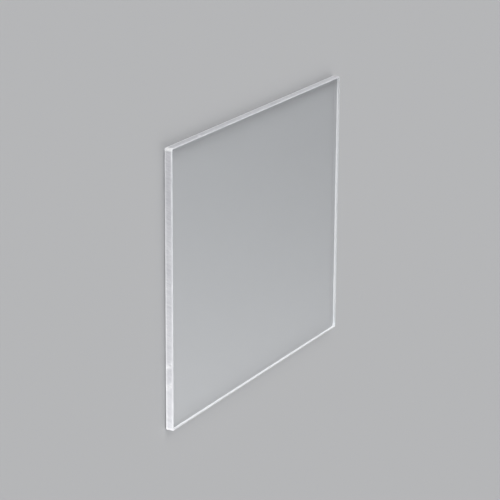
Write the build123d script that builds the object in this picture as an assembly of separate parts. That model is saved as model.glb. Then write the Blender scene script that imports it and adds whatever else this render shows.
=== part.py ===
from build123d import *
import os

# A clear acrylic sheet, cut to size from a flat blank: one solid. Millimetres.
# The sheet lies flat. Z = 0 is its underside, and the origin is the middle of that underside.

# Driving dimensions.
LENGTH = 250.0  # along X
WIDTH = 200.0  # along Y
THICKNESS = 6.0  # along Z
CORNER_RADIUS = 1.5  # the four upright corners, eased so that they don't chip or cut
ARRIS = 0.5  # the small 45 degree bevel that takes the sharpness off every long edge


def acrylic_sheet():
    """The whole sheet: a slab with eased corners, bevelled all round at both faces."""
    with BuildPart() as sheet:
        with BuildSketch():
            RectangleRounded(LENGTH, WIDTH, CORNER_RADIUS)
        extrude(amount=THICKNESS)
        underside = sheet.faces().sort_by(Axis.Z)[0]
        top = sheet.faces().sort_by(Axis.Z)[-1]
        chamfer(underside.edges() + top.edges(), ARRIS)
    return sheet.part


os.makedirs("parts", exist_ok=True)
export_step(acrylic_sheet(), "parts/acrylic_sheet.step")
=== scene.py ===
# %% [markdown]
# A clear acrylic sheet, 6 mm thick, lying flat. One piece of stock has three finishes on it: the two
# glossy faces come from the casting or the extruder, the cut edges are satin from the saw or router,
# and a scraper has taken the sharpness off every long edge. This file makes each of them, in metres,
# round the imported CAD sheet, which gives the true size and place.

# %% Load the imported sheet
import math
import bpy
from mathutils import Matrix, Vector, noise


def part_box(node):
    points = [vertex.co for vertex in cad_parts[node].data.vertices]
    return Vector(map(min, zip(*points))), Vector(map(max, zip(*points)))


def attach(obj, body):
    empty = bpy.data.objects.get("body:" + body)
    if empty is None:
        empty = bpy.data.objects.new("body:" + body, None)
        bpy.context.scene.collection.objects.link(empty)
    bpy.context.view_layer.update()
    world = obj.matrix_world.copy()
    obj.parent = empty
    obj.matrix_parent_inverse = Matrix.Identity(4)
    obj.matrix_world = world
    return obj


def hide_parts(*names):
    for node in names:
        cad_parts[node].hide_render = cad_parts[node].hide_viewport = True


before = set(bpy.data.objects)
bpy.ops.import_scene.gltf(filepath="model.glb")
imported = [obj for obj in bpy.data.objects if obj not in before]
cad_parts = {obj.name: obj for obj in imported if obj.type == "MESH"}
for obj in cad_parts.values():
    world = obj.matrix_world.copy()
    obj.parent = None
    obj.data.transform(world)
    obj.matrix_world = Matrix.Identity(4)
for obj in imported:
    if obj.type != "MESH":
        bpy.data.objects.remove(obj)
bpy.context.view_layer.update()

low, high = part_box("acrylic_sheet")
LENGTH, WIDTH, THICKNESS = high - low
print("nodes:", list(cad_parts))
print("size, m:", [round(side, 4) for side in (LENGTH, WIDTH, THICKNESS)])

# %% [markdown]
# The rim of the sheet is a rounded rectangle, and its section is a flat cut edge between two small
# bevels. A Bevel modifier could make that from a box, but then the bevel's width, its slight
# unevenness and the finish of each strip are hard to reach. Here the rim is a list of stations, each
# with the way outwards, and the section is a list of points. Every vertex is one station of the rim
# moved in or out by one point of the section.

# %% Stations round the rim
MM = 0.001
CORNER_RADIUS = 1.5 * MM
CORNER_STEPS = 8
GRID_STEP = 5 * MM
# The core rectangle joins the centres of the four corner arcs. These are its half sides, and how many
# steps each side has.
CORE = Vector((LENGTH / 2 - CORNER_RADIUS, WIDTH / 2 - CORNER_RADIUS))
CELLS = (round(2 * CORE.x / GRID_STEP), round(2 * CORE.y / GRID_STEP))
CORNER_SIGNS = ((1, -1), (1, 1), (-1, 1), (-1, -1))
QUARTER_TURN = math.pi / 2


def rim_stations():
    """Places on the core rectangle, anticlockwise from above, each with its way outwards."""
    places = []
    corners = [Vector((CORE.x * sign_x, CORE.y * sign_y)) for sign_x, sign_y in CORNER_SIGNS]
    for side in range(4):
        start, end = corners[side], corners[(side + 1) % 4]
        cells = CELLS[1] if side % 2 == 0 else CELLS[0]
        turn = side * QUARTER_TURN
        for step in range(cells + 1):
            outwards = Vector((math.cos(turn), math.sin(turn)))
            places.append((start.lerp(end, step / cells), outwards))
        for step in range(1, CORNER_STEPS):
            angle = turn + step / CORNER_STEPS * QUARTER_TURN
            places.append((end, Vector((math.cos(angle), math.sin(angle)))))
    return places


stations = rim_stations()
print("stations round the rim:", len(stations))

# %% [markdown]
# The section runs from the top face, over the upper bevel, down the cut edge and round the lower
# bevel to the underside. The four bends between them are slightly rounded, as a scraper and a wipe
# with fine paper leave them, because a bend with no radius never shows a highlight. A scraper also
# takes a little more in one place than in another, so the bevel's width wanders along the rim.

# %% The section
ARRIS = 0.5 * MM
ARRIS_WANDER = 0.16  # the most that the bevel grows, as a share of its width
ARRIS_WANDER_SIZE = 22 * MM
BEND_RADIUS = 0.45 * MM
BEND_STEPS = 4
BEND_REACH = BEND_RADIUS * math.tan(math.radians(45 / 2))  # from the sharp bend to the arc's end


def swell(place):
    """Blender's smooth noise at a place, brought from -1 to 1 into 0 to 1."""
    return 0.5 + 0.5 * noise.noise(place)


def arris_width(place):
    """The bevel's width at a place on the rim, never less than the CAD sheet's."""
    return ARRIS * (1 + ARRIS_WANDER * swell(Vector((place.x, place.y, 0)) / ARRIS_WANDER_SIZE))


def section(arris):
    """Points as (outwards, upwards, tilt of the surface) from the top face to the underside."""
    inner = -arris - BEND_REACH
    # Each bend: how far out and up its centre is, and the tilt in degrees at its start and its end.
    bends = (
        (inner, THICKNESS - BEND_RADIUS, 90, 45),
        (-BEND_RADIUS, THICKNESS - arris - BEND_REACH, 45, 0),
        (-BEND_RADIUS, arris + BEND_REACH, 0, -45),
        (inner, BEND_RADIUS, -45, -90),
    )
    points = []
    for centre_out, centre_up, first, last in bends:
        for step in range(BEND_STEPS + 1):
            tilt = math.radians(first + (last - first) * step / BEND_STEPS)
            points.append((
                centre_out + BEND_RADIUS * math.cos(tilt),
                centre_up + BEND_RADIUS * math.sin(tilt),
                tilt,
            ))
    return points


ROWS = 4 * (BEND_STEPS + 1)
CUT_ROW = 2 * (BEND_STEPS + 1) - 1  # the cut edge lies between this row and the next
print("points in the section:", ROWS, "cut edge below row:", CUT_ROW)

# %% [markdown]
# A cast face looks flat but isn't quite: it swells and sinks by a few hundredths of a millimetre
# over a hand's width, which bends reflections a little. That is geometry, so each face is a grid
# whose points sink by up to the ripple depth, and come back to the true plane near the rim.

# %% The faces' ripple
RIPPLE_DEPTH = 0.02 * MM
RIPPLE_SIZE = 55 * MM
RIPPLE_MARGIN = 12 * MM


def ripple(x, y, seed):
    """How far a face is below its plane at x, y."""
    to_rim = min(CORE.x - abs(x), CORE.y - abs(y))
    fade = min(max(to_rim / RIPPLE_MARGIN, 0), 1)
    eased = fade * fade * (3 - 2 * fade)
    return RIPPLE_DEPTH * swell(Vector((x, y, seed)) / RIPPLE_SIZE) * eased


def ripple_normal(x, y, seed, up):
    """The face's true direction there, from the ripple's slope over a millimetre each way."""
    slope_x = (ripple(x + MM, y, seed) - ripple(x - MM, y, seed)) / (2 * MM)
    slope_y = (ripple(x, y + MM, seed) - ripple(x, y - MM, seed)) / (2 * MM)
    return Vector((slope_x, slope_y, up)).normalized()


print("ripple in the middle, mm:", round(ripple(0, 0, 0) / MM, 4))

# %% [markdown]
# Now the sheet's mesh. Its four lists grow together: each vertex has its normal, and each face has
# its finish. Three material slots follow the three finishes. One mesh with three slots was chosen
# over three meshes, because the sheet is one piece and its surface has to close.

# %% The lists of the mesh
POLISHED, CUT, EASED = 0, 1, 2
vertices, normals, faces, finishes = [], [], [], []


def add_vertex(place, normal):
    """Note a vertex and its normal, and give back its number."""
    vertices.append(place)
    normals.append(normal)
    return len(vertices) - 1


def add_face(corners, finish):
    """Note a face by its vertices' numbers, with the slot of its finish."""
    faces.append(corners)
    finishes.append(finish)


print("finishes:", {"polished": POLISHED, "cut": CUT, "eased": EASED})

# %% [markdown]
# The rim comes first: each pair of neighbouring stations and each pair of neighbouring points of the
# section give one face. The normals are written from the section's own tilt, so that the narrow bends
# shade as true curves and the faces stay flat right up to them.

# %% The rim's strips
rows = [[] for _ in range(ROWS)]
for core, outwards in stations:
    flat = outwards.to_3d()
    arris = arris_width(core + outwards * CORNER_RADIUS)
    for row, (out, up, tilt) in zip(rows, section(arris)):
        place = core + outwards * (CORNER_RADIUS + out)
        normal = flat * math.cos(tilt) + Vector((0, 0, math.sin(tilt)))
        row.append(add_vertex(Vector((place.x, place.y, low.z + up)), normal))

count = len(stations)
for upper in range(ROWS - 1):
    finish = CUT if upper == CUT_ROW else EASED
    for here in range(count):
        after = (here + 1) % count
        above, below = rows[upper], rows[upper + 1]
        add_face((above[here], below[here], below[after], above[after]), finish)
print("faces in the rim:", len(faces))

# %% [markdown]
# Each glossy face is a rippled grid, as large as the core rectangle. Its border has to meet the rim
# station by station, so it is listed in the same order. Along the sides there is one vertex for each
# station. Round a corner, the grid's one corner vertex stands for the whole arc.

# %% The border of a face's grid


def grid_border(grid):
    """The grid's outer vertices, one for each station of the rim."""
    last_i, last_j = CELLS
    sides = (
        [(last_i, j) for j in range(last_j + 1)],
        [(i, last_j) for i in range(last_i, -1, -1)],
        [(0, j) for j in range(last_j, -1, -1)],
        [(i, 0) for i in range(last_i + 1)],
    )
    border = []
    for side in sides:
        border += [grid[key] for key in side] + [grid[side[-1]]] * (CORNER_STEPS - 1)
    return border


print("cells in a face's grid:", CELLS)

# %% [markdown]
# One ring of faces joins the grid's border to the first or the last row of the rim. It is four-sided
# along the sides and three-sided round the corners, and it closes the mesh. The two glossy faces have
# their own ripple, because nothing makes the two sides of a casting alike.

# %% The two glossy faces
TOP_SEED, UNDER_SEED = 0.0, 1.0


def add_cap(ring, level, up, seed):
    """One glossy face, facing up or down (1 or -1), joined to the rim's first or last row."""
    grid = {}
    for i in range(CELLS[0] + 1):
        for j in range(CELLS[1] + 1):
            x = CORE.x * (2 * i / CELLS[0] - 1)
            y = CORE.y * (2 * j / CELLS[1] - 1)
            place = Vector((x, y, level - up * ripple(x, y, seed)))
            grid[i, j] = add_vertex(place, ripple_normal(x, y, seed, up))

    def cap_face(corners):
        """A face seen anticlockwise from above, turned over for the underside."""
        add_face(corners if up > 0 else tuple(reversed(corners)), POLISHED)

    for i in range(CELLS[0]):
        for j in range(CELLS[1]):
            cap_face((grid[i, j], grid[i + 1, j], grid[i + 1, j + 1], grid[i, j + 1]))
    border = grid_border(grid)
    for here in range(count):
        after = (here + 1) % count
        if border[here] == border[after]:
            cap_face((ring[here], ring[after], border[here]))
        else:
            cap_face((ring[here], ring[after], border[after], border[here]))


add_cap(rows[0], high.z, 1, TOP_SEED)
add_cap(rows[-1], low.z, -1, UNDER_SEED)
print("vertices:", len(vertices), "faces:", len(faces))

# %% [markdown]
# The lists become one mesh, which rides on the part's only body and stands for its only CAD node.

# %% The sheet
mesh = bpy.data.meshes.new("clear_sheet")
mesh.from_pydata(vertices, [], faces)
mesh.polygons.foreach_set("material_index", finishes)
mesh.shade_smooth()
mesh.normals_split_custom_set_from_vertices(normals)
mesh.validate()
sheet = bpy.data.objects.new("clear_sheet", mesh)
bpy.context.scene.collection.objects.link(sheet)
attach(sheet, "root")
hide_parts("acrylic_sheet")
print("piece:", sheet.name, "triangles:", sum(len(face) - 2 for face in faces))

# %% [markdown]
# Next the finishes. Every material below starts in the same way and places and links nodes in the
# same way, so three short helpers do that.

# %% Helpers for nodes


def new_material(name):
    """A material with its tree, its Principled shader and its output."""
    material = bpy.data.materials.new(name)
    material.use_nodes = True
    tree = material.node_tree
    return material, tree, tree.nodes["Principled BSDF"], tree.nodes["Material Output"]


def node(tree, kind, **settings):
    """Place a node and set its options."""
    made = tree.nodes.new(kind)
    for name, value in settings.items():
        setattr(made, name, value)
    return made


def feed(tree, socket, source):
    """Put a number or a colour on a socket, or link another node's output to it."""
    if isinstance(source, bpy.types.NodeSocket):
        tree.links.new(source, socket)
    else:
        socket.default_value = source


print("node helpers ready")

# %% [markdown]
# A finish differs from place to place, and a mask says where: a number from 0 to 1, worked out by
# nodes. Painting masks on an image would need a flat layout of the whole sheet. Working them out from
# the place itself keeps them sharp at any distance. For that, these helpers give the place that is
# being shaded, do one step of arithmetic, and ease from one level to another.

# %% Helpers for masks


def place_on_sheet(tree):
    """X, Y and Z of the place that is being shaded, in metres from the sheet's origin."""
    place = node(tree, "ShaderNodeSeparateXYZ")
    feed(tree, place.inputs["Vector"], node(tree, "ShaderNodeTexCoord").outputs["Object"])
    return place.outputs


def math_step(tree, operation, first, second=0.0, third=0.0):
    """One Math node, fed by numbers or by other nodes' outputs."""
    step = node(tree, "ShaderNodeMath", operation=operation)
    for socket, source in zip(step.inputs, (first, second, third)):
        feed(tree, socket, source)
    return step.outputs["Value"]


def between(tree, value, start, end, at_start=0.0, at_end=1.0):
    """Ease from one level to another while a value goes from start to end."""
    ease = node(tree, "ShaderNodeMapRange", interpolation_type="SMOOTHSTEP")
    given = {"Value": value, "From Min": start, "From Max": end, "To Min": at_start, "To Max": at_end}
    for name, source in given.items():
        feed(tree, ease.inputs[name], source)
    return ease.outputs["Result"]


print("mask helpers ready")

# %% [markdown]
# Three more helpers make a finish short to read. One adds up a recipe: a plain value and, for each
# mask that changes it, that mask's share. One mixes two colours by such a sum. One turns a mask into
# fine relief. With them a finish is a small table of names and amounts.

# %% Helpers for finishes


def add_up(tree, recipe, masks):
    """The recipe's plain value, plus each mask that it names times that mask's share."""
    total = recipe["plain"]
    for name, share in recipe.items():
        if name != "plain":
            total = math_step(tree, "MULTIPLY_ADD", masks[name], share, total)
    return total


def tint(tree, dark, pale, tone):
    """A colour from dark to pale, by a tone from 0 to 1."""
    colour = node(tree, "ShaderNodeMix", data_type="RGBA")
    feed(tree, colour.inputs["A"], dark)
    feed(tree, colour.inputs["B"], pale)
    feed(tree, colour.inputs["Factor"], tone)
    return colour.outputs["Result"]


def relief(tree, height, depth, strength, invert=False):
    """A normal for fine relief: the height of a mask, up to a depth, by a Bump node."""
    bump = node(tree, "ShaderNodeBump", invert=invert)
    bump.inputs["Strength"].default_value = strength
    bump.inputs["Distance"].default_value = depth
    feed(tree, bump.inputs["Height"], height)
    return bump.outputs["Normal"]


print("finish helpers ready")

# %% [markdown]
# Blender's node groups are the workshop's jigs: an effect is built once, gets named inputs and
# outputs, and is placed in each material with its own values. These helpers open an empty group with
# its sockets ready, place a group, and place the noise texture that both groups below are made from.

# %% Helpers for node groups


def new_group(name, inputs, outputs):
    """An empty shader node group with named sockets; inputs give each one's first value."""
    group = bpy.data.node_groups.new(name, "ShaderNodeTree")
    for label, value in inputs.items():
        socket = group.interface.new_socket(label, in_out="INPUT", socket_type="NodeSocketFloat")
        socket.default_value = value
    for label in outputs:
        group.interface.new_socket(label, in_out="OUTPUT", socket_type="NodeSocketFloat")
    return group, node(group, "NodeGroupInput").outputs, node(group, "NodeGroupOutput").inputs


def place_group(tree, group, **values):
    """Put a group in a material, with its own values; underscores stand for spaces."""
    placed = node(tree, "ShaderNodeGroup", node_tree=group)
    for label, value in values.items():
        placed.inputs[label.replace("_", " ")].default_value = value
    return placed.outputs


def noise_at(tree, x, y, z, detail, roughness=0.5):
    """A noise texture with one swell per unit of x, y and z."""
    place = node(tree, "ShaderNodeCombineXYZ")
    for axis, source in zip("XYZ", (x, y, z)):
        feed(tree, place.inputs[axis], source)
    texture = node(tree, "ShaderNodeTexNoise")
    feed(tree, texture.inputs["Vector"], place.outputs["Vector"])
    texture.inputs["Scale"].default_value = 1.0
    texture.inputs["Detail"].default_value = detail
    texture.inputs["Roughness"].default_value = roughness
    return texture.outputs["Fac"]


print("group helpers ready")

# %% [markdown]
# Tool marks are the first jig. A saw or a router crosses the edge, so its marks are short along the
# rim and long across the thickness, with a slight lean. A scraper runs along the rim, so its marks are
# the other way round. Both are one noise texture, squeezed in one direction and stretched in the
# other. A place along the rim is X + Y, which grows along every side, and a share of X - Y keeps two
# sides from having the same marks. Coarser noise in the same place makes the finish patchy.

# %% The tool marks group
SIDE_SHARE = 0.3
# In a pair for a mask, like this one, the mask is 0 at the first value and 1 at the second.
NOISE_MIDDLE = (0.3, 0.7)  # nearly all of a noise lies between these


def tool_marks_group():
    """Marks along or across the rim, by the values that the group is given, and patches."""
    first_values = {"Along": 0.4 * MM, "Across": 12 * MM, "Lean": 0.3, "Patch Size": 20 * MM}
    group, given, result = new_group("tool_marks", first_values, ("Marks", "Patches"))
    x, y, z = place_on_sheet(group)
    along = math_step(group, "ADD", x, y)
    other = math_step(group, "MULTIPLY", math_step(group, "SUBTRACT", x, y), SIDE_SHARE)
    leaning = math_step(group, "MULTIPLY_ADD", z, given["Lean"], along)

    def stretched_noise(along_size, across_size, detail, roughness=0.5):
        """A noise whose swells have one size along the rim and another across the thickness."""
        sizes = ((leaning, along_size), (other, along_size), (z, across_size))
        steps = [math_step(group, "DIVIDE", length, given[size]) for length, size in sizes]
        return noise_at(group, *steps, detail, roughness)

    marks = stretched_noise("Along", "Across", detail=3.0, roughness=0.6)
    patches = stretched_noise("Patch Size", "Patch Size", detail=2.0)
    feed(group, result["Marks"], between(group, marks, *NOISE_MIDDLE))
    feed(group, result["Patches"], between(group, patches, *NOISE_MIDDLE))
    return group


tool_marks = tool_marks_group()
print("group:", tool_marks.name, "sockets:", [item.name for item in tool_marks.interface.items_tree])

# %% [markdown]
# Handling is the second jig. Wiping and stacking leave hairlines: thin, nearly straight scratches in
# two or three directions. Lines drawn one by one would be a lot of mesh for very little. Each direction
# here is a noise stretched into long grains, and only the thin crest of a grain counts as a line.

# %% Hairlines in one direction
WIPE_DIRECTIONS = (17, 64, 141)  # degrees from X
GRAIN_WIDTH = 8.0  # a grain of the noise is this many times as wide as the line on its crest
GRAIN_CREST = (0.70, 0.76)
DEPTH_RATE = 400.0  # per metre of height, so that the two faces are scratched differently
PATTERN_STEP = 7.0  # between the directions, so that their patterns differ


def scratches(group, coords, given, number):
    """Hairlines in one of the wiping directions."""
    turned = node(group, "ShaderNodeVectorRotate", rotation_type="Z_AXIS")
    feed(group, turned.inputs["Vector"], coords)
    turned.inputs["Angle"].default_value = math.radians(WIPE_DIRECTIONS[number])
    place = node(group, "ShaderNodeSeparateXYZ")
    feed(group, place.inputs["Vector"], turned.outputs["Vector"])
    x, y, z = place.outputs
    width = math_step(group, "MULTIPLY", given["Hairline Width"], GRAIN_WIDTH)
    grain = noise_at(
        group,
        math_step(group, "DIVIDE", x, given["Hairline Length"]),
        math_step(group, "DIVIDE", y, width),
        math_step(group, "MULTIPLY_ADD", z, DEPTH_RATE, number * PATTERN_STEP),
        detail=1.0,
    )
    return between(group, grain, *GRAIN_CREST)


print("directions of the hairlines, degrees:", WIPE_DIRECTIONS)

# %% [markdown]
# The rest of the jig puts the hairlines only where something rubbed. A broad noise decides where that
# is, and also gives the faint cloud that a wiping hand leaves. Dust is the middle of each cell of a
# Voronoi texture.

# %% The handling group
RUBBED = (0.45, 0.6)
CLOUDED = (0.35, 0.7)


def scaled(group, coords, size):
    """The same place, counted in steps of a size."""
    place = node(group, "ShaderNodeVectorMath", operation="SCALE")
    feed(group, place.inputs["Vector"], coords)
    feed(group, place.inputs["Scale"], math_step(group, "DIVIDE", 1.0, size))
    return place.outputs["Vector"]


def handling_group():
    """Hairlines in all directions, the cloud and the dust."""
    first_values = {
        "Hairline Width": 0.12 * MM,
        "Hairline Length": 14 * MM,
        "Cloud Size": 60 * MM,
        "Dust Spacing": 9 * MM,
        "Dust Size": 0.25 * MM,
    }
    group, given, result = new_group("handling", first_values, ("Hairlines", "Cloud", "Dust"))
    coords = node(group, "ShaderNodeTexCoord").outputs["Object"]

    cloud = node(group, "ShaderNodeTexNoise")
    feed(group, cloud.inputs["Vector"], scaled(group, coords, given["Cloud Size"]))
    cloud.inputs["Scale"].default_value = 1.0
    cloud.inputs["Detail"].default_value = 3.0
    feed(group, result["Cloud"], between(group, cloud.outputs["Fac"], *CLOUDED))

    lines = scratches(group, coords, given, 0)
    for number in range(1, len(WIPE_DIRECTIONS)):
        lines = math_step(group, "MAXIMUM", lines, scratches(group, coords, given, number))
    rubbed = between(group, cloud.outputs["Fac"], *RUBBED)
    feed(group, result["Hairlines"], math_step(group, "MULTIPLY", lines, rubbed))

    cells = node(group, "ShaderNodeTexVoronoi")
    feed(group, cells.inputs["Vector"], scaled(group, coords, given["Dust Spacing"]))
    cells.inputs["Scale"].default_value = 1.0
    reach = math_step(group, "DIVIDE", given["Dust Size"], given["Dust Spacing"])
    feed(group, result["Dust"], between(group, cells.outputs["Distance"], reach, 0.0))
    return group


handling = handling_group()
print("group:", handling.name, "sockets:", [item.name for item in handling.interface.items_tree])

# %% [markdown]
# Clear plastic lets most of the light through to the floor, so its shadow is faint. A renderer finds
# that light only by chance when it has to bend through two glossy faces, and the shadow comes out far
# too dark. The usual cure is to swap the shader for a plain see-through one, for the rays that carry
# light and not for the rays that carry the picture. Shadow rays look for the lamps. Diffuse rays look
# round from the floor for anything else that lights it, so the glossy faces let them through too. If
# those kept bending, the dome would light the floor under the sheet twice. At the cut edges they stop,
# because a bright edge does light the floor beside it.

# %% Light through the sheet
LIGHT_SEEKING = ("Is Diffuse Ray", "Is Shadow Ray")
LAMP_SEEKING = ("Is Shadow Ray",)
THROUGH_A_FACE = (0.941, 0.947, 0.953, 1)
THROUGH_AN_EDGE = (0.55, 0.55, 0.56, 1)


def let_light_through(tree, shader, output, share, kinds_of_ray):
    """Give the output the shader, but for those kinds of ray a see-through of that share."""
    see_through = node(tree, "ShaderNodeBsdfTransparent")
    see_through.inputs["Color"].default_value = share
    light_path = node(tree, "ShaderNodeLightPath")
    surface = shader.outputs["BSDF"]
    for kind_of_ray in kinds_of_ray:
        mix = node(tree, "ShaderNodeMixShader")
        feed(tree, mix.inputs["Fac"], light_path.outputs[kind_of_ray])
        feed(tree, mix.inputs[1], surface)
        feed(tree, mix.inputs[2], see_through.outputs["BSDF"])
        surface = mix.outputs["Shader"]
    feed(tree, output.inputs["Surface"], surface)


print("faces let through:", LIGHT_SEEKING, "edges let through:", LAMP_SEEKING)

# %% [markdown]
# The glossy faces are clear plastic with the mould's or the roller's gloss. The Principled shader
# makes that with full transmission and acrylic's index of 1.49. Its gloss isn't perfect: the cloud,
# the hairlines and the dust roughen it a little, and the hairlines are also faint grooves. Each face
# passes about 95% of the light. A weak absorption in the body gives the long way through the sheet its
# slight blue.

# %% The glossy faces
ACRYLIC_INDEX = 1.49
GLOSSY_COLOUR = (0.988, 0.9922, 0.997, 1)
GLOSSY_ROUGHNESS = {"plain": 0.012, "cloud": 0.03, "hairlines": 0.12, "dust": 0.3}
BODY_TINT = (0.72, 0.88, 0.95, 1)
BODY_DENSITY = 1.5  # per metre


def polished_acrylic():
    """The clear body, seen through its glossy faces."""
    material, tree, shader, output = new_material("polished_acrylic")
    shader.inputs["Base Color"].default_value = GLOSSY_COLOUR
    shader.inputs["IOR"].default_value = ACRYLIC_INDEX
    shader.inputs["Transmission Weight"].default_value = 1.0
    worn = place_group(tree, handling, Hairline_Width=0.10 * MM, Hairline_Length=16 * MM)
    masks = {"cloud": worn["Cloud"], "hairlines": worn["Hairlines"], "dust": worn["Dust"]}
    feed(tree, shader.inputs["Roughness"], add_up(tree, GLOSSY_ROUGHNESS, masks))
    grooves = relief(tree, worn["Hairlines"], depth=0.01 * MM, strength=0.15, invert=True)
    feed(tree, shader.inputs["Normal"], grooves)
    let_light_through(tree, shader, output, THROUGH_A_FACE, LIGHT_SEEKING)

    body = node(tree, "ShaderNodeVolumeAbsorption")
    body.inputs["Color"].default_value = BODY_TINT
    body.inputs["Density"].default_value = BODY_DENSITY
    feed(tree, output.inputs["Volume"], body.outputs["Volume"])
    return material


mesh.materials.append(polished_acrylic())
print("slot", POLISHED, mesh.materials[POLISHED].name)

# %% [markdown]
# The cut edge isn't equally pale all over. The tool slows and the plastic warms in places, which
# leaves a few soft slanting flecks where the surface is smoother. The tool marks jig makes them at
# random, drawn out to a few millimetres. Two lighter slanting marks on the left edge are painted
# reflections, put where the photograph has them, and smoother like the flecks.

# %% The flecks and the painted reflections
FLECK_SPREAD = (0.72, 0.98)
FLECK_PLACES = (0.45, 0.9)
LEFT_EDGE = (-LENGTH / 2 + 2 * MM, -LENGTH / 2 + 1 * MM)  # along X
# Two slanting marks on the left edge: painted reflections, lighter in tone.
PAINTED_REFLECTIONS = (-53 * MM, -67.8 * MM)  # along Y, on the left edge
REFLECTION_LEAN = 0.6  # sideways for each unit of height
REFLECTION_REACH = 3.4 * MM


def flecks_on_edge(tree, x, y, z):
    """Random flecks all round, and the two painted reflections on the left edge."""
    drawn_out = place_group(
        tree, tool_marks, Along=3.2 * MM, Across=9 * MM, Lean=1.6, Patch_Size=45 * MM)
    spread = between(tree, drawn_out["Marks"], *FLECK_SPREAD)
    places = between(tree, drawn_out["Patches"], *FLECK_PLACES)
    fleck = math_step(tree, "MULTIPLY", spread, places)
    on_left_edge = between(tree, x, *LEFT_EDGE)
    slanted = math_step(tree, "MULTIPLY_ADD", z, -REFLECTION_LEAN, y)
    for middle in PAINTED_REFLECTIONS:
        at_mid_height = middle - REFLECTION_LEAN * THICKNESS / 2
        distance = math_step(tree, "ABSOLUTE", math_step(tree, "SUBTRACT", slanted, at_mid_height))
        nearness = between(tree, distance, REFLECTION_REACH, 0.0)
        painted_reflection = math_step(tree, "MULTIPLY", nearness, on_left_edge)
        fleck = math_step(tree, "MAXIMUM", fleck, painted_reflection)
    return fleck


print("stop marks at Y, mm:", [round(middle / MM, 1) for middle in PAINTED_REFLECTIONS])

# %% [markdown]
# The corners are a little smoother, and their tone is a painted highlight for the glint of their
# rounding. In the photograph two opposite ones are brighter than the other two, so their painted
# highlight is stronger. They are where X and Y have different signs, and the product of X and Y tells
# them apart.

# %% The painted corner highlights
CORNER_REACH = (-2.6 * MM, -1.2 * MM)  # back from the sheet's end
CORNER_EXTRA_INSIDE = 2.5 * MM
CORNER_PRODUCT = LENGTH * WIDTH / 4  # X times Y at a corner, apart from its sign
# The other two corners get this share of the painted highlight.
LEAST_GLINT = 0.35  # the share of the mask that the other two corners have


def corners_of_edge(tree, x, y, from_inside):
    """Where the corners' highlight is painted and their surface is smoother, reaching a little further
    where they are seen through the sheet.
    """
    past_x = math_step(tree, "SUBTRACT", math_step(tree, "ABSOLUTE", x), LENGTH / 2)
    past_y = math_step(tree, "SUBTRACT", math_step(tree, "ABSOLUTE", y), WIDTH / 2)
    from_end = math_step(tree, "MINIMUM", past_x, past_y)
    from_end = math_step(tree, "MULTIPLY_ADD", from_inside, CORNER_EXTRA_INSIDE, from_end)
    product = math_step(tree, "MULTIPLY", x, y)
    glint_share = between(tree, product, CORNER_PRODUCT, -CORNER_PRODUCT, at_start=LEAST_GLINT)
    return math_step(tree, "MULTIPLY", between(tree, from_end, *CORNER_REACH), glint_share)


print("corner masks begin this far from the sheet's end, mm:", round(-CORNER_REACH[0] / MM, 1))

# %% [markdown]
# The cut edge is the same plastic broken up by the saw into a satin white. It scatters light instead
# of passing it on, so it is a pale rough surface here, with only a tenth of transmission. The marks
# change its tone, its roughness and its height together, as a real groove does. The strips beside both
# bevels are painted lighter, as painted light, the lower one most, against the shade that the floor
# throws on it. Seen from inside the sheet, the edge is painted paler still, as painted light for the
# glow
# of a scattering edge: Backfacing tells which side is seen. That painted light makes the two far edges
# shine through the faces.

# %% The cut edge
CUT_DARK = (0.45, 0.45, 0.485, 1)
CUT_PALE = (0.98, 0.98, 0.985, 1)
CUT_TRANSMISSION = 0.1
# The two strips beside the bevels are painted light, the lower one stronger against the floor's shade.
UPPER_STRIP = (4.4 * MM, 5.5 * MM)  # heights
LOWER_STRIP = (2.0 * MM, 1.0 * MM)
CUT_TONE = {
    "plain": 0.08,
    "marks": 0.26,
    "patches": 0.08,
    # the two strips' shares are painted light
    "upper strip": 0.12,
    "lower strip": 0.35,
    # the fleck share includes the two painted reflections
    "fleck": 0.3,
    # the corner's share is a painted highlight
    "corner": 0.8,
    # the share from inside is painted light, a painted glow of the far edges
    "from inside": 0.6,
}
CUT_ROUGHNESS = {"plain": 0.36, "marks": 0.14, "fleck": -0.16, "corner": -0.18}


def cut_acrylic():
    """The satin edge that the saw or the router left, with painted light on its strips, corners and
    inner side.
    """
    material, tree, shader, output = new_material("cut_acrylic")
    shader.inputs["IOR"].default_value = ACRYLIC_INDEX
    shader.inputs["Transmission Weight"].default_value = CUT_TRANSMISSION
    marks = place_group(
        tree, tool_marks, Along=0.5 * MM, Across=9 * MM, Lean=0.35, Patch_Size=16 * MM)
    x, y, z = place_on_sheet(tree)
    # Backfacing: the side seen from inside gets painted light in the tone.
    from_inside = node(tree, "ShaderNodeNewGeometry").outputs["Backfacing"]
    masks = {
        "marks": marks["Marks"],
        "patches": marks["Patches"],
        "upper strip": between(tree, z, *UPPER_STRIP),
        "lower strip": between(tree, z, *LOWER_STRIP),
        "fleck": flecks_on_edge(tree, x, y, z),
        "corner": corners_of_edge(tree, x, y, from_inside),
        "from inside": from_inside,
    }
    tone = add_up(tree, CUT_TONE, masks)
    feed(tree, shader.inputs["Base Color"], tint(tree, CUT_DARK, CUT_PALE, tone))
    feed(tree, shader.inputs["Roughness"], add_up(tree, CUT_ROUGHNESS, masks))
    grooves = relief(tree, masks["marks"], depth=0.04 * MM, strength=0.8)
    feed(tree, shader.inputs["Normal"], grooves)
    let_light_through(tree, shader, output, THROUGH_AN_EDGE, LAMP_SEEKING)
    return material


mesh.materials.append(cut_acrylic())
print("slot", CUT, mesh.materials[CUT].name)

# %% [markdown]
# The bevels have been scraped, so their marks run along the rim, and they are smoother than the cut
# edge. They draw the fine outlines of the sheet. The same two jigs make them, with other values. Like
# the cut edge, they have a painted highlight at the corners and are painted paler where seen from
# inside, as painted light.

# %% The scraped bevels
EASED_DARK = (0.43, 0.435, 0.46, 1)
EASED_PALE = (0.98, 0.985, 0.995, 1)
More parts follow.
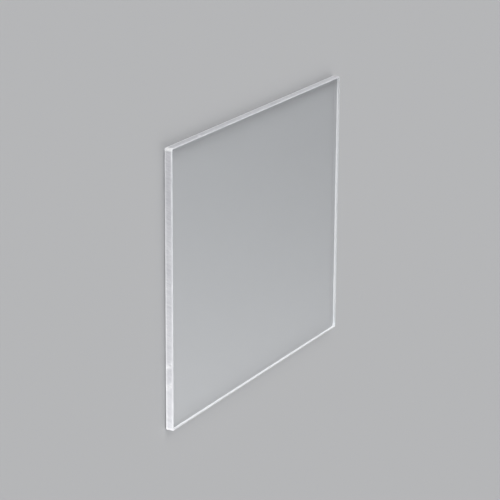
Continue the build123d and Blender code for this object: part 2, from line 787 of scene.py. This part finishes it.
# In this tone the corner and from-inside shares are painted light.
EASED_TONE = {"plain": 0.065, "marks": 0.28, "patches": 0.16, "corner": 0.3, "from inside": 0.5}
EASED_ROUGHNESS = {"plain": 0.32, "marks": 0.14, "hairlines": 0.1}


def eased_acrylic():
    """The bevels, scraped along the rim, with painted light at the corners and on the inner side."""
    material, tree, shader, output = new_material("eased_acrylic")
    shader.inputs["IOR"].default_value = ACRYLIC_INDEX
    marks = place_group(
        tree, tool_marks, Along=7 * MM, Across=0.12 * MM, Lean=0.0, Patch_Size=11 * MM)
    worn = place_group(tree, handling, Hairline_Width=0.08 * MM, Hairline_Length=3 * MM)
    x, y, _ = place_on_sheet(tree)
    from_inside = node(tree, "ShaderNodeNewGeometry").outputs["Backfacing"]
    masks = {
        "marks": marks["Marks"],
        "patches": marks["Patches"],
        "hairlines": worn["Hairlines"],
        "corner": corners_of_edge(tree, x, y, from_inside),
        "from inside": from_inside,
    }
    tone = add_up(tree, EASED_TONE, masks)
    feed(tree, shader.inputs["Base Color"], tint(tree, EASED_DARK, EASED_PALE, tone))
    feed(tree, shader.inputs["Roughness"], add_up(tree, EASED_ROUGHNESS, masks))
    streaks = relief(tree, masks["marks"], depth=0.01 * MM, strength=0.3)
    feed(tree, shader.inputs["Normal"], streaks)
    let_light_through(tree, shader, output, THROUGH_AN_EDGE, LAMP_SEEKING)
    return material


mesh.materials.append(eased_acrylic())
print("slot", EASED, mesh.materials[EASED].name)

# %% [markdown]
# The floor is plain and pale, a little darker than the sheet's edges so that they show against it. It
# is wide enough to reach the horizon in a low view, and it has no gloss at all, because a gloss grows
# towards the horizon, differently on each side. A hair's gap under the sheet keeps the two surfaces
# apart for the renderer.

# %% The floor
FLOOR_SIZE = 60.0
FLOOR_GAP = 0.3 * MM
FLOOR_COLOUR = (0.41, 0.412, 0.418, 1)


def pale_floor():
    """A plain matte paint."""
    material, _, shader, _ = new_material("pale_floor")
    shader.inputs["Base Color"].default_value = FLOOR_COLOUR
    shader.inputs["Roughness"].default_value = 1.0
    shader.inputs["Specular IOR Level"].default_value = 0.0
    return material


bpy.ops.mesh.primitive_plane_add(size=FLOOR_SIZE, location=(0, 0, low.z - FLOOR_GAP))
floor = bpy.context.object
floor.name = "floor"
floor.data.materials.append(pale_floor())
print("floor at Z, m:", round(floor.location.z, 5))

# %% [markdown]
# A glossy sheet shows what it reflects, so the room matters as much as the lamps. The room is a dome
# painted by height: a pale band that the floor runs into with hardly a line, dim walls, which keep the
# face dark and clear, and a soft ceiling.

# %% The room
FLOOR_LEVEL = 0.461  # as bright as the lit floor
DOME = (
    # sine of the elevation, level
    (0.06, FLOOR_LEVEL),
    (0.15, 0.18),
    (0.55, 0.22),
    (0.85, 0.48),
)
COOL_WHITE = (1.0, 1.01, 1.03)

world = bpy.data.worlds.new("studio")
bpy.context.scene.world = world
world.use_nodes = True
sky = world.node_tree
direction = node(sky, "ShaderNodeTexCoord").outputs["Generated"]
split = node(sky, "ShaderNodeSeparateXYZ")
feed(sky, split.inputs["Vector"], direction)
ramp = node(sky, "ShaderNodeValToRGB")
stops = ramp.color_ramp.elements
while len(stops) < len(DOME):
    stops.new(position=0.5)  # anywhere, because the next loop moves it
for stop, (height, level) in zip(stops, DOME):
    stop.position = height
    stop.color = [level * share for share in COOL_WHITE] + [1]
feed(sky, ramp.inputs["Fac"], split.outputs["Z"])
print("dome levels:", [level for height, level in DOME])

# %% [markdown]
# Hard-edged lamps would sit in the glossy face as white shapes, so what the face mirrors are two soft
# glows on the dome. One is on the camera's side, above it and to its right. The other is opposite,
# beyond the sheet: that is the one that the face turns towards the camera, more of it at the lower
# left than at the upper right.

# %% The two glows
GLOWS = (
    # towards, half angle where it starts, half angle where it is full, level
    ((-0.32, 0.71, 0.62), 52, 18, 0.6),
    ((0.44, -0.77, 0.47), 42, 26, 0.9),
)
GLOW_FOOT = (0.15, 0.40)  # sines of the elevation between which a glow fades out downwards

foot = between(sky, split.outputs["Z"], *GLOW_FOOT)
light = ramp.outputs["Color"]
for towards, start, full, level in GLOWS:
    nearness = node(sky, "ShaderNodeVectorMath", operation="DOT_PRODUCT")
    feed(sky, nearness.inputs[0], direction)
    nearness.inputs[1].default_value = Vector(towards).normalized()
    outer, inner = math.cos(math.radians(start)), math.cos(math.radians(full))
    glow = between(sky, nearness.outputs["Value"], outer, inner, at_end=level)
    added = node(sky, "ShaderNodeMix", data_type="RGBA", blend_type="ADD")
    added.inputs["Factor"].default_value = 1
    feed(sky, added.inputs["A"], light)
    feed(sky, added.inputs["B"], math_step(sky, "MULTIPLY", glow, foot))
    light = added.outputs["Result"]
feed(sky, sky.nodes["Background"].inputs["Color"], light)
print("glows towards:", [towards for towards, *_ in GLOWS])

# %% [markdown]
# The lamps light the edges and cast the shadow: a key light from the same side as the first glow, and
# a weaker fill from the other side, so that the far edges aren't dull. Both are suns as wide as a big
# softbox is from close by, and they are hidden from mirrors, because the glows do that part.

# %% Key and fill
LAMPS = (
    # name, towards, strength, width across in degrees
    ("key", (-0.22, 0.76, 0.61), 1.8, 50),
    ("fill", (0.62, -0.62, 0.48), 1.1, 60),
)


def add_lamp(name, data, towards):
    """Put a lamp in the scene, turned to shine from that direction, and hide it from mirrors."""
    lamp = bpy.data.objects.new(name, data)
    bpy.context.scene.collection.objects.link(lamp)
    lamp.rotation_mode = "QUATERNION"
    lamp.rotation_quaternion = (-Vector(towards)).to_track_quat("-Z", "Y")
    lamp.visible_glossy = False
    lamp.visible_transmission = False
    return lamp


for name, towards, strength, width in LAMPS:
    sun = bpy.data.lights.new(name, "SUN")
    sun.energy = strength
    sun.angle = math.radians(width)
    add_lamp(name, sun, towards)
    print(name, "from", [round(part, 2) for part in Vector(towards).normalized()])

# %% [markdown]
# One small lamp stands low, a third of a metre out from the corner at -X and -Y. It grades the cut
# edge at -X, brightest at that corner. It is there for the sheet alone, as if a flag shaded the floor,
# so Blender's light linking lets it reach the sheet and nothing else. Mirrors don't see it either, or
# it would stand in the glossy face as a white patch.

# %% The side lamp
SIDE_LAMP_AT = Vector((-0.42, -0.27, 0.06))
SIDE_LAMP_AIM = Vector((-LENGTH / 2, -WIDTH / 2, 0))
SIDE_LAMP_SIZE = (0.30, 0.09)
SIDE_LAMP_POWER = 1.34

panel = bpy.data.lights.new("side_lamp", "AREA")
panel.energy = SIDE_LAMP_POWER
panel.shape = "RECTANGLE"
panel.size, panel.size_y = SIDE_LAMP_SIZE
side_lamp = add_lamp("side_lamp", panel, SIDE_LAMP_AT - SIDE_LAMP_AIM)
side_lamp.location = SIDE_LAMP_AT
reached = bpy.data.collections.new("reached_by_side_lamp")
reached.objects.link(sheet)
side_lamp.light_linking.receiver_collection = reached
print("side lamp at, m:", [round(part, 2) for part in SIDE_LAMP_AT])

# %% [markdown]
# The camera stands where the photograph's stood, in the sheet's own terms: well round to the left of
# the face, and somewhat above its middle line. Its place and lens come from a pinhole camera fitted to
# the sheet's corners. The sheet lies flat here, so the camera looks down on it, and it is turned so
# that the sheet's +Y points up in the picture.

# %% The camera
CAMERA_DISTANCE = 1.5562
CAMERA_LENS = 157.1  # millimetres, like the sensor
SENSOR_WIDTH = 36
AIM = Vector((-0.01606, 0.00084, high.z))
ROUND_FROM_NORMAL = math.radians(61.56)
ABOVE = math.radians(17.28)
TILT = math.radians(0.36)

back = Vector((
    -math.sin(ROUND_FROM_NORMAL) * math.cos(ABOVE),
    math.sin(ABOVE),
    math.cos(ROUND_FROM_NORMAL) * math.cos(ABOVE),
))
right = Vector((0, 1, 0)).cross(back).normalized()
up = back.cross(right)
rotation = Matrix((right, up, back)).transposed() @ Matrix.Rotation(TILT, 3, "Z")
lens = bpy.data.cameras.new("camera")
lens.lens = CAMERA_LENS
lens.sensor_width = SENSOR_WIDTH
camera = bpy.data.objects.new("camera", lens)
camera.matrix_world = Matrix.Translation(AIM + back * CAMERA_DISTANCE) @ rotation.to_4x4()
bpy.context.scene.collection.objects.link(camera)
bpy.context.scene.camera = camera
bpy.context.scene.view_settings.view_transform = "Standard"
print("camera at, m:", [round(part, 3) for part in camera.location])
